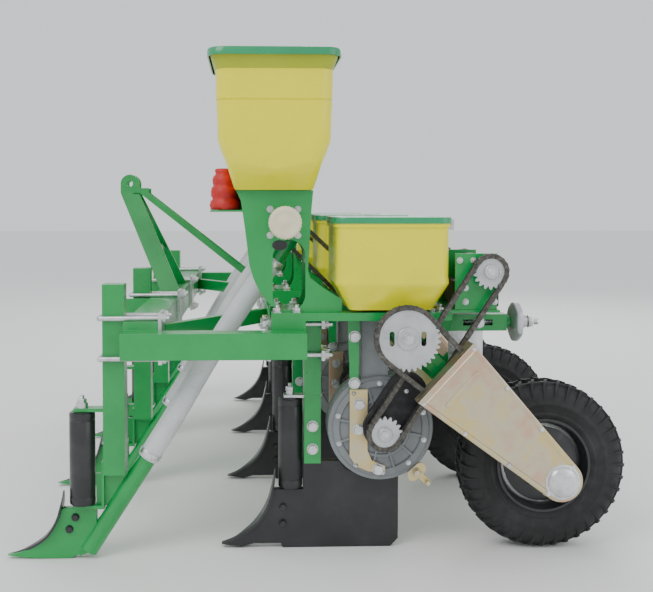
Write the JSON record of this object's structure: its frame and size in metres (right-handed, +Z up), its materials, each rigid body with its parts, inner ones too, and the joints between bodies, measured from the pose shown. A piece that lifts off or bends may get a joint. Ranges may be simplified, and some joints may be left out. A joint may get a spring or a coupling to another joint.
{
  "type": "corn planter",
  "caption": "Tractor-mounted row-crop corn planter with fertiliser openers: green frame, yellow hoppers, chain-driven seed meters and trailing rubber ground wheels.",
  "frame": {"origin": "on the ground, at the middle of the machine's overall length and width", "axes": "+X to the rear (ground wheels), -X to the tractor, +Y along the row of units, +Z up"},
  "size_m": [1.478, 2.096, 1.176],
  "materials": {
    "green_paint": "satin",
    "black_paint": "satin",
    "bright_zinc": "satin",
    "chain_case_zinc": "satin",
    "chain_steel": "satin",
    "yellow_plastic": "gloss",
    "green_plastic": "gloss",
    "grey_plastic": "matte",
    "cream_plastic": "matte",
    "hose_plastic": "satin",
    "red_rubber": "matte",
    "dark_iron": "matte",
    "tyre_rubber": "matte",
    "rim_paint": "gloss"
  },
  "bodies": {
    "root": {"main_frame": "green_paint", "hitch_mast": "green_paint", "fertilizer_openers": "black_paint", "seed_openers": "black_paint", "row_frames": "green_paint", "hopper_stands": "green_paint", "fertilizer_hoppers": "yellow_plastic", "seed_boxes": "yellow_plastic", "meter_and_gearbox_housings": "grey_plastic", "fertilizer_hoses": "hose_plastic", "drive_chains": "chain_steel", "clamps_and_bolts": "bright_zinc"},
    "wheel_arm_1": {"wheel_arm_1": "chain_case_zinc"},
    "wheel_1": {"wheel_1": "tyre_rubber"},
    "drive_shaft_1": {"drive_shaft_1": "bright_zinc"},
    "gearbox_shaft_1": {"gearbox_shaft_1": "bright_zinc"},
    "meter_rotor_1": {"meter_rotor_1": "grey_plastic"},
    "feed_shaft_1": {"feed_shaft_1": "cream_plastic"},
    "depth_handwheel_1": {"depth_handwheel_1": "bright_zinc"},
    "depth_slider_1": {"depth_slider_1": "bright_zinc"},
    "front_roller_1": {"front_roller_1": "black_paint"},
    "rear_roller_1": {"rear_roller_1": "black_paint"},
    "hopper_lid_1": {"hopper_lid_1": "green_plastic"},
    "seed_lid_1": {"seed_lid_1": "green_plastic"},
    "wheel_arm_2": {"wheel_arm_2": "chain_case_zinc"},
    "wheel_2": {"wheel_2": "tyre_rubber"},
    "drive_shaft_2": {"drive_shaft_2": "bright_zinc"},
    "gearbox_shaft_2": {"gearbox_shaft_2": "bright_zinc"},
    "meter_rotor_2": {"meter_rotor_2": "grey_plastic"},
    "feed_shaft_2": {"feed_shaft_2": "cream_plastic"},
    "depth_handwheel_2": {"depth_handwheel_2": "bright_zinc"},
    "depth_slider_2": {"depth_slider_2": "bright_zinc"},
    "front_roller_2": {"front_roller_2": "black_paint"},
    "rear_roller_2": {"rear_roller_2": "black_paint"},
    "hopper_lid_2": {"hopper_lid_2": "green_plastic"},
    "seed_lid_2": {"seed_lid_2": "green_plastic"},
    "wheel_arm_3": {"wheel_arm_3": "chain_case_zinc"},
    "wheel_3": {"wheel_3": "tyre_rubber"},
    "drive_shaft_3": {"drive_shaft_3": "bright_zinc"},
    "gearbox_shaft_3": {"gearbox_shaft_3": "bright_zinc"},
    "meter_rotor_3": {"meter_rotor_3": "grey_plastic"},
    "feed_shaft_3": {"feed_shaft_3": "cream_plastic"},
    "depth_handwheel_3": {"depth_handwheel_3": "bright_zinc"},
    "depth_slider_3": {"depth_slider_3": "bright_zinc"},
    "front_roller_3": {"front_roller_3": "black_paint"},
    "rear_roller_3": {"rear_roller_3": "black_paint"},
    "hopper_lid_3": {"hopper_lid_3": "green_plastic"},
    "seed_lid_3": {"seed_lid_3": "green_plastic"},
    "wheel_arm_4": {"wheel_arm_4": "chain_case_zinc"},
    "wheel_4": {"wheel_4": "tyre_rubber"},
    "drive_shaft_4": {"drive_shaft_4": "bright_zinc"},
    "gearbox_shaft_4": {"gearbox_shaft_4": "bright_zinc"},
    "meter_rotor_4": {"meter_rotor_4": "grey_plastic"},
    "feed_shaft_4": {"feed_shaft_4": "cream_plastic"},
    "depth_handwheel_4": {"depth_handwheel_4": "bright_zinc"},
    "depth_slider_4": {"depth_slider_4": "bright_zinc"},
    "front_roller_4": {"front_roller_4": "black_paint"},
    "rear_roller_4": {"rear_roller_4": "black_paint"},
    "hopper_lid_4": {"hopper_lid_4": "green_plastic"},
    "seed_lid_4": {"seed_lid_4": "green_plastic"}
  },
  "joints": [
    {"name": "arm_pivot_1", "type": "hinge", "parent": "root", "child": "wheel_arm_1", "pos_m": [0.187, -0.855, 0.526], "axis": [0, 1, 0], "range_deg": [-6, 6]},
    {"name": "wheel_spin_1", "type": "hinge", "parent": "wheel_arm_1", "child": "wheel_1", "pos_m": [0.536, -0.855, 0.203], "axis": [0, 1, 0], "continuous": true},
    {"name": "drive_spin_1", "type": "hinge", "parent": "root", "child": "drive_shaft_1", "pos_m": [0.187, -0.855, 0.526], "axis": [0, 1, 0], "continuous": true},
    {"name": "gearbox_spin_1", "type": "hinge", "parent": "root", "child": "gearbox_shaft_1", "pos_m": [0.382, -0.855, 0.675], "axis": [0, 1, 0], "continuous": true},
    {"name": "meter_spin_1", "type": "hinge", "parent": "root", "child": "meter_rotor_1", "pos_m": [0.14, -0.855, 0.302], "axis": [0, 1, 0], "continuous": true},
    {"name": "feed_spin_1", "type": "hinge", "parent": "root", "child": "feed_shaft_1", "pos_m": [-0.09, -0.855, 0.788], "axis": [0, 1, 0], "continuous": true},
    {"name": "slider_travel_1", "type": "slide", "parent": "root", "child": "depth_slider_1", "axis": [1, 0, 0], "range_m": [-0.0092, 0.0092]},
    {"name": "screw_turn_1", "type": "hinge", "parent": "root", "child": "depth_handwheel_1", "pos_m": [0.474, -0.855, 0.546], "axis": [1, 0, 0], "range_deg": [-815, 815]},
    {"name": "front_roller_spin_1", "type": "hinge", "parent": "root", "child": "front_roller_1", "pos_m": [-0.562, -0.91, 0.236], "axis": [0, 0, 1], "continuous": true},
    {"name": "rear_roller_spin_1", "type": "hinge", "parent": "root", "child": "rear_roller_1", "pos_m": [-0.072, -0.855, 0.255], "axis": [0, 0, 1], "continuous": true},
    {"name": "hopper_lid_hinge_1", "type": "hinge", "parent": "root", "child": "hopper_lid_1", "pos_m": [-0.1135, -0.6685, 1.165], "axis": [-1, 0, 0], "range_deg": [0, 105]},
    {"name": "seed_lid_hinge_1", "type": "hinge", "parent": "root", "child": "seed_lid_1", "pos_m": [0.302, -0.855, 0.791], "axis": [0, 1, 0], "range_deg": [0, 100]},
    {"name": "arm_pivot_2", "type": "hinge", "parent": "root", "child": "wheel_arm_2", "pos_m": [0.187, -0.285, 0.526], "axis": [0, 1, 0], "range_deg": [-6, 6]},
    {"name": "wheel_spin_2", "type": "hinge", "parent": "wheel_arm_2", "child": "wheel_2", "pos_m": [0.536, -0.285, 0.203], "axis": [0, 1, 0], "continuous": true},
    {"name": "drive_spin_2", "type": "hinge", "parent": "root", "child": "drive_shaft_2", "pos_m": [0.187, -0.285, 0.526], "axis": [0, 1, 0], "continuous": true},
    {"name": "gearbox_spin_2", "type": "hinge", "parent": "root", "child": "gearbox_shaft_2", "pos_m": [0.382, -0.285, 0.675], "axis": [0, 1, 0], "continuous": true},
    {"name": "meter_spin_2", "type": "hinge", "parent": "root", "child": "meter_rotor_2", "pos_m": [0.14, -0.285, 0.302], "axis": [0, 1, 0], "continuous": true},
    {"name": "feed_spin_2", "type": "hinge", "parent": "root", "child": "feed_shaft_2", "pos_m": [-0.09, -0.285, 0.788], "axis": [0, 1, 0], "continuous": true},
    {"name": "slider_travel_2", "type": "slide", "parent": "root", "child": "depth_slider_2", "axis": [1, 0, 0], "range_m": [-0.0092, 0.0092]},
    {"name": "screw_turn_2", "type": "hinge", "parent": "root", "child": "depth_handwheel_2", "pos_m": [0.474, -0.285, 0.546], "axis": [1, 0, 0], "range_deg": [-815, 815]},
    {"name": "front_roller_spin_2", "type": "hinge", "parent": "root", "child": "front_roller_2", "pos_m": [-0.562, -0.34, 0.236], "axis": [0, 0, 1], "continuous": true},
    {"name": "rear_roller_spin_2", "type": "hinge", "parent": "root", "child": "rear_roller_2", "pos_m": [-0.072, -0.285, 0.255], "axis": [0, 0, 1], "continuous": true},
    {"name": "hopper_lid_hinge_2", "type": "hinge", "parent": "root", "child": "hopper_lid_2", "pos_m": [-0.1135, -0.0985, 1.165], "axis": [-1, 0, 0], "range_deg": [0, 105]},
    {"name": "seed_lid_hinge_2", "type": "hinge", "parent": "root", "child": "seed_lid_2", "pos_m": [0.302, -0.285, 0.791], "axis": [0, 1, 0], "range_deg": [0, 100]},
    {"name": "arm_pivot_3", "type": "hinge", "parent": "root", "child": "wheel_arm_3", "pos_m": [0.187, 0.285, 0.526], "axis": [0, 1, 0], "range_deg": [-6, 6]},
    {"name": "wheel_spin_3", "type": "hinge", "parent": "wheel_arm_3", "child": "wheel_3", "pos_m": [0.536, 0.285, 0.203], "axis": [0, 1, 0], "continuous": true},
    {"name": "drive_spin_3", "type": "hinge", "parent": "root", "child": "drive_shaft_3", "pos_m": [0.187, 0.285, 0.526], "axis": [0, 1, 0], "continuous": true},
    {"name": "gearbox_spin_3", "type": "hinge", "parent": "root", "child": "gearbox_shaft_3", "pos_m": [0.382, 0.285, 0.675], "axis": [0, 1, 0], "continuous": true},
    {"name": "meter_spin_3", "type": "hinge", "parent": "root", "child": "meter_rotor_3", "pos_m": [0.14, 0.285, 0.302], "axis": [0, 1, 0], "continuous": true},
    {"name": "feed_spin_3", "type": "hinge", "parent": "root", "child": "feed_shaft_3", "pos_m": [-0.09, 0.285, 0.788], "axis": [0, 1, 0], "continuous": true},
    {"name": "slider_travel_3", "type": "slide", "parent": "root", "child": "depth_slider_3", "axis": [1, 0, 0], "range_m": [-0.0092, 0.0092]},
    {"name": "screw_turn_3", "type": "hinge", "parent": "root", "child": "depth_handwheel_3", "pos_m": [0.474, 0.285, 0.546], "axis": [1, 0, 0], "range_deg": [-815, 815]},
    {"name": "front_roller_spin_3", "type": "hinge", "parent": "root", "child": "front_roller_3", "pos_m": [-0.562, 0.23, 0.236], "axis": [0, 0, 1], "continuous": true},
    {"name": "rear_roller_spin_3", "type": "hinge", "parent": "root", "child": "rear_roller_3", "pos_m": [-0.072, 0.285, 0.255], "axis": [0, 0, 1], "continuous": true},
    {"name": "hopper_lid_hinge_3", "type": "hinge", "parent": "root", "child": "hopper_lid_3", "pos_m": [-0.1135, 0.4715, 1.165], "axis": [-1, 0, 0], "range_deg": [0, 105]},
    {"name": "seed_lid_hinge_3", "type": "hinge", "parent": "root", "child": "seed_lid_3", "pos_m": [0.302, 0.285, 0.791], "axis": [0, 1, 0], "range_deg": [0, 100]},
    {"name": "arm_pivot_4", "type": "hinge", "parent": "root", "child": "wheel_arm_4", "pos_m": [0.187, 0.855, 0.526], "axis": [0, 1, 0], "range_deg": [-6, 6]},
    {"name": "wheel_spin_4", "type": "hinge", "parent": "wheel_arm_4", "child": "wheel_4", "pos_m": [0.536, 0.855, 0.203], "axis": [0, 1, 0], "continuous": true},
    {"name": "drive_spin_4", "type": "hinge", "parent": "root", "child": "drive_shaft_4", "pos_m": [0.187, 0.855, 0.526], "axis": [0, 1, 0], "continuous": true},
    {"name": "gearbox_spin_4", "type": "hinge", "parent": "root", "child": "gearbox_shaft_4", "pos_m": [0.382, 0.855, 0.675], "axis": [0, 1, 0], "continuous": true},
    {"name": "meter_spin_4", "type": "hinge", "parent": "root", "child": "meter_rotor_4", "pos_m": [0.14, 0.855, 0.302], "axis": [0, 1, 0], "continuous": true},
    {"name": "feed_spin_4", "type": "hinge", "parent": "root", "child": "feed_shaft_4", "pos_m": [-0.09, 0.855, 0.788], "axis": [0, 1, 0], "continuous": true},
    {"name": "slider_travel_4", "type": "slide", "parent": "root", "child": "depth_slider_4", "axis": [1, 0, 0], "range_m": [-0.0092, 0.0092]},
    {"name": "screw_turn_4", "type": "hinge", "parent": "root", "child": "depth_handwheel_4", "pos_m": [0.474, 0.855, 0.546], "axis": [1, 0, 0], "range_deg": [-815, 815]},
    {"name": "front_roller_spin_4", "type": "hinge", "parent": "root", "child": "front_roller_4", "pos_m": [-0.562, 0.8, 0.236], "axis": [0, 0, 1], "continuous": true},
    {"name": "rear_roller_spin_4", "type": "hinge", "parent": "root", "child": "rear_roller_4", "pos_m": [-0.072, 0.855, 0.255], "axis": [0, 0, 1], "continuous": true},
    {"name": "hopper_lid_hinge_4", "type": "hinge", "parent": "root", "child": "hopper_lid_4", "pos_m": [-0.1135, 1.0415, 1.165], "axis": [-1, 0, 0], "range_deg": [0, 105]},
    {"name": "seed_lid_hinge_4", "type": "hinge", "parent": "root", "child": "seed_lid_4", "pos_m": [0.302, 0.855, 0.791], "axis": [0, 1, 0], "range_deg": [0, 100]}
  ],
  "couplings": [
    {"joint": "drive_spin_1", "follows": "wheel_spin_1", "ratio": 0.45714},
    {"joint": "gearbox_spin_1", "follows": "wheel_spin_1", "ratio": 0.45714},
    {"joint": "meter_spin_1", "follows": "wheel_spin_1", "ratio": 0.45714},
    {"joint": "feed_spin_1", "follows": "wheel_spin_1", "ratio": 0.54857},
    {"joint": "slider_travel_1", "follows": "arm_pivot_1", "m_per_rad": -0.0857},
    {"joint": "screw_turn_1", "follows": "arm_pivot_1", "ratio": -134.6},
    {"joint": "drive_spin_2", "follows": "wheel_spin_2", "ratio": 0.45714},
    {"joint": "gearbox_spin_2", "follows": "wheel_spin_2", "ratio": 0.45714},
    {"joint": "meter_spin_2", "follows": "wheel_spin_2", "ratio": 0.45714},
    {"joint": "feed_spin_2", "follows": "wheel_spin_2", "ratio": 0.54857},
    {"joint": "slider_travel_2", "follows": "arm_pivot_2", "m_per_rad": -0.0857},
    {"joint": "screw_turn_2", "follows": "arm_pivot_2", "ratio": -134.6},
    {"joint": "drive_spin_3", "follows": "wheel_spin_3", "ratio": 0.45714},
    {"joint": "gearbox_spin_3", "follows": "wheel_spin_3", "ratio": 0.45714},
    {"joint": "meter_spin_3", "follows": "wheel_spin_3", "ratio": 0.45714},
    {"joint": "feed_spin_3", "follows": "wheel_spin_3", "ratio": 0.54857},
    {"joint": "slider_travel_3", "follows": "arm_pivot_3", "m_per_rad": -0.0857},
    {"joint": "screw_turn_3", "follows": "arm_pivot_3", "ratio": -134.6},
    {"joint": "drive_spin_4", "follows": "wheel_spin_4", "ratio": 0.45714},
    {"joint": "gearbox_spin_4", "follows": "wheel_spin_4", "ratio": 0.45714},
    {"joint": "meter_spin_4", "follows": "wheel_spin_4", "ratio": 0.45714},
    {"joint": "feed_spin_4", "follows": "wheel_spin_4", "ratio": 0.54857},
    {"joint": "slider_travel_4", "follows": "arm_pivot_4", "m_per_rad": -0.0857},
    {"joint": "screw_turn_4", "follows": "arm_pivot_4", "ratio": -134.6}
  ]
}
